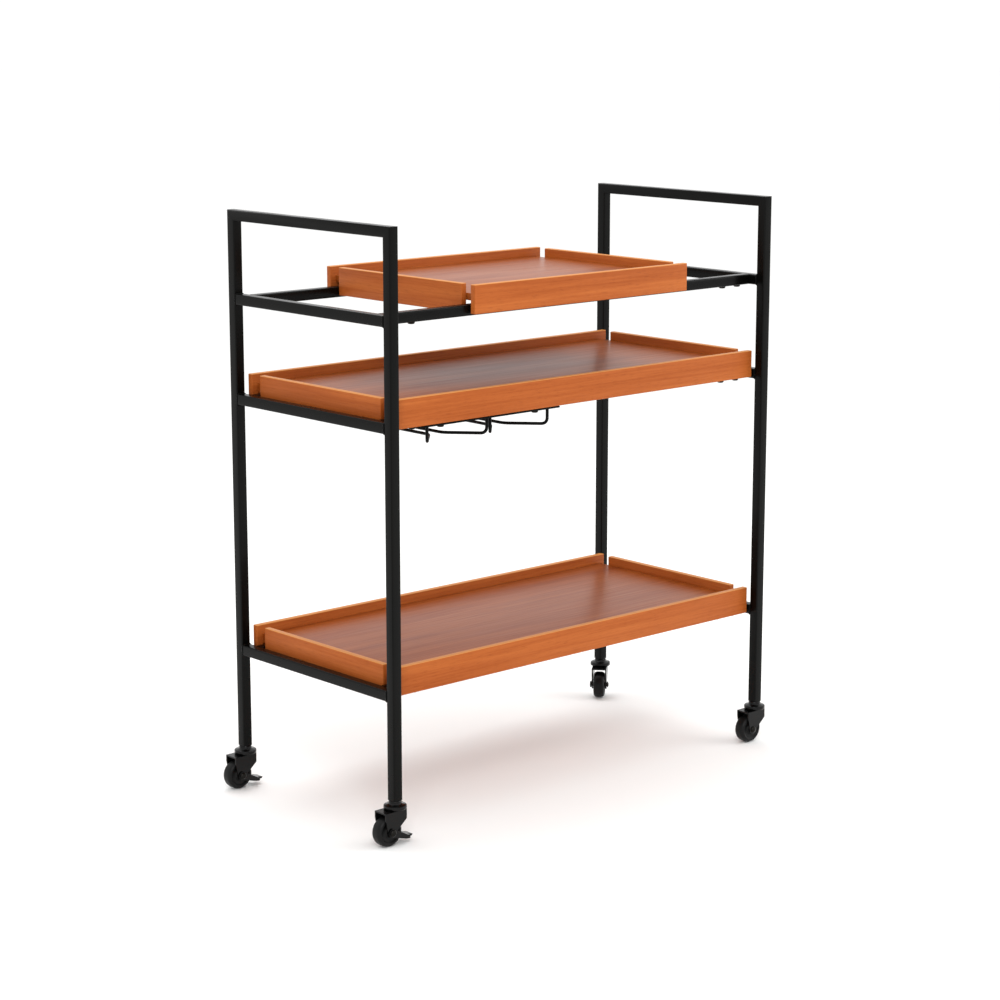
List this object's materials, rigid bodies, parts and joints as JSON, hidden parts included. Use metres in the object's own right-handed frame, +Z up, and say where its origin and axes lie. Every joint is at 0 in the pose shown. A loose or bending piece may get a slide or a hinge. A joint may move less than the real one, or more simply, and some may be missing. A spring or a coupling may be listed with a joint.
{
  "type": "bar cart",
  "caption": "Three-tier bar cart: black square-tube end frames with handle rails, rimmed cherry-wood trays, a hanging stemware rack and swivel casters, some braked.",
  "frame": {"origin": "centre of the footprint, on the floor", "axes": "+Z up, X along the cart with the stemware rack at -X, and -Y the front, where the rack's slots open"},
  "size_m": [0.7736, 0.3758, 0.8382],
  "materials": {
    "powder_coat": "semi-gloss black powder coat",
    "panel_veneer": "satin lacquered cherry veneer",
    "floor_veneer": "satin lacquered cherry veneer",
    "rack_wire": "semi-gloss black",
    "caster_steel": "gloss black",
    "wheel": "moulded black nylon",
    "axle_bolt": "blackened",
    "brake_steel": "gloss black",
    "glide": "matt black"
  },
  "bodies": {
    "frame": {"left_front_leg": "powder_coat", "left_back_leg": "powder_coat", "right_front_leg": "powder_coat", "right_back_leg": "powder_coat", "left_handle_rail": "powder_coat", "left_top_end_rail": "powder_coat", "left_middle_end_rail": "powder_coat", "left_lower_end_rail": "powder_coat", "right_handle_rail": "powder_coat", "right_top_end_rail": "powder_coat", "right_middle_end_rail": "powder_coat", "right_lower_end_rail": "powder_coat", "front_top_long_rail": "powder_coat", "back_top_long_rail": "powder_coat", "front_middle_long_rail": "powder_coat", "back_middle_long_rail": "powder_coat", "front_lower_long_rail": "powder_coat", "back_lower_long_rail": "powder_coat", "middle_tray_front_panel": "panel_veneer", "middle_tray_back_panel": "panel_veneer", "middle_tray_left_panel": "panel_veneer", "middle_tray_right_panel": "panel_veneer", "middle_tray_floor": "floor_veneer", "lower_tray_front_panel": "panel_veneer", "lower_tray_back_panel": "panel_veneer", "lower_tray_left_panel": "panel_veneer", "lower_tray_right_panel": "panel_veneer", "lower_tray_floor": "floor_veneer", "rack_front_strap": "rack_wire", "rack_back_strap": "rack_wire", "rack_wire_1_left": "rack_wire", "rack_wire_1_right": "rack_wire", "rack_wire_2_left": "rack_wire", "rack_wire_2_right": "rack_wire", "left_front_caster_stem": "caster_steel", "left_back_caster_stem": "caster_steel", "right_front_caster_stem": "caster_steel", "right_back_caster_stem": "caster_steel"},
    "top_tray": {"top_tray_front_panel": "panel_veneer", "top_tray_back_panel": "panel_veneer", "top_tray_left_panel": "panel_veneer", "top_tray_right_panel": "panel_veneer", "top_tray_floor": "floor_veneer", "top_tray_front_glide": "glide", "top_tray_back_glide": "glide"},
    "left_front_caster": {"left_front_caster_fork": "caster_steel", "left_front_caster_axle": "axle_bolt"},
    "left_front_wheel": {"left_front_caster_wheel": "wheel"},
    "left_front_brake": {"left_front_brake_lever": "brake_steel"},
    "left_back_caster": {"left_back_caster_fork": "caster_steel", "left_back_caster_axle": "axle_bolt"},
    "left_back_wheel": {"left_back_caster_wheel": "wheel"},
    "left_back_brake": {"left_back_brake_lever": "brake_steel"},
    "right_front_caster": {"right_front_caster_fork": "caster_steel", "right_front_caster_axle": "axle_bolt"},
    "right_front_wheel": {"right_front_caster_wheel": "wheel"},
    "right_back_caster": {"right_back_caster_fork": "caster_steel", "right_back_caster_axle": "axle_bolt"},
    "right_back_wheel": {"right_back_caster_wheel": "wheel"}
  },
  "joints": [
    {"name": "top_tray_slide", "type": "slide", "parent": "frame", "child": "top_tray", "axis": [1, 0, 0], "range_m": [-0.14, 0.14]},
    {"name": "left_front_swivel", "type": "hinge", "parent": "frame", "child": "left_front_caster", "pos_m": [-0.3508, -0.1703, 0.05], "axis": [0, 0, 1], "continuous": true},
    {"name": "left_front_wheel_spin", "type": "hinge", "parent": "left_front_caster", "child": "left_front_wheel", "pos_m": [-0.3658, -0.1703, 0.021], "axis": [0, 1, 0], "continuous": true},
    {"name": "left_front_brake_lift", "type": "hinge", "parent": "left_front_caster", "child": "left_front_brake", "pos_m": [-0.3658, -0.1703, 0.021], "axis": [0, -1, 0], "range_deg": [0, 25]},
    {"name": "left_back_swivel", "type": "hinge", "parent": "frame", "child": "left_back_caster", "pos_m": [-0.3508, 0.1703, 0.05], "axis": [0, 0, 1], "continuous": true},
    {"name": "left_back_wheel_spin", "type": "hinge", "parent": "left_back_caster", "child": "left_back_wheel", "pos_m": [-0.3658, 0.1703, 0.021], "axis": [0, 1, 0], "continuous": true},
    {"name": "left_back_brake_lift", "type": "hinge", "parent": "left_back_caster", "child": "left_back_brake", "pos_m": [-0.3658, 0.1703, 0.021], "axis": [0, -1, 0], "range_deg": [0, 25]},
    {"name": "right_front_swivel", "type": "hinge", "parent": "frame", "child": "right_front_caster", "pos_m": [0.3708, -0.1703, 0.05], "axis": [0, 0, 1], "continuous": true},
    {"name": "right_front_wheel_spin", "type": "hinge", "parent": "right_front_caster", "child": "right_front_wheel", "pos_m": [0.3558, -0.1703, 0.021], "axis": [0, 1, 0], "continuous": true},
    {"name": "right_back_swivel", "type": "hinge", "parent": "frame", "child": "right_back_caster", "pos_m": [0.3708, 0.1703, 0.05], "axis": [0, 0, 1], "continuous": true},
    {"name": "right_back_wheel_spin", "type": "hinge", "parent": "right_back_caster", "child": "right_back_wheel", "pos_m": [0.35948, 0.16046, 0.021], "axis": [-0.6561, 0.7547, 0], "continuous": true}
  ]
}
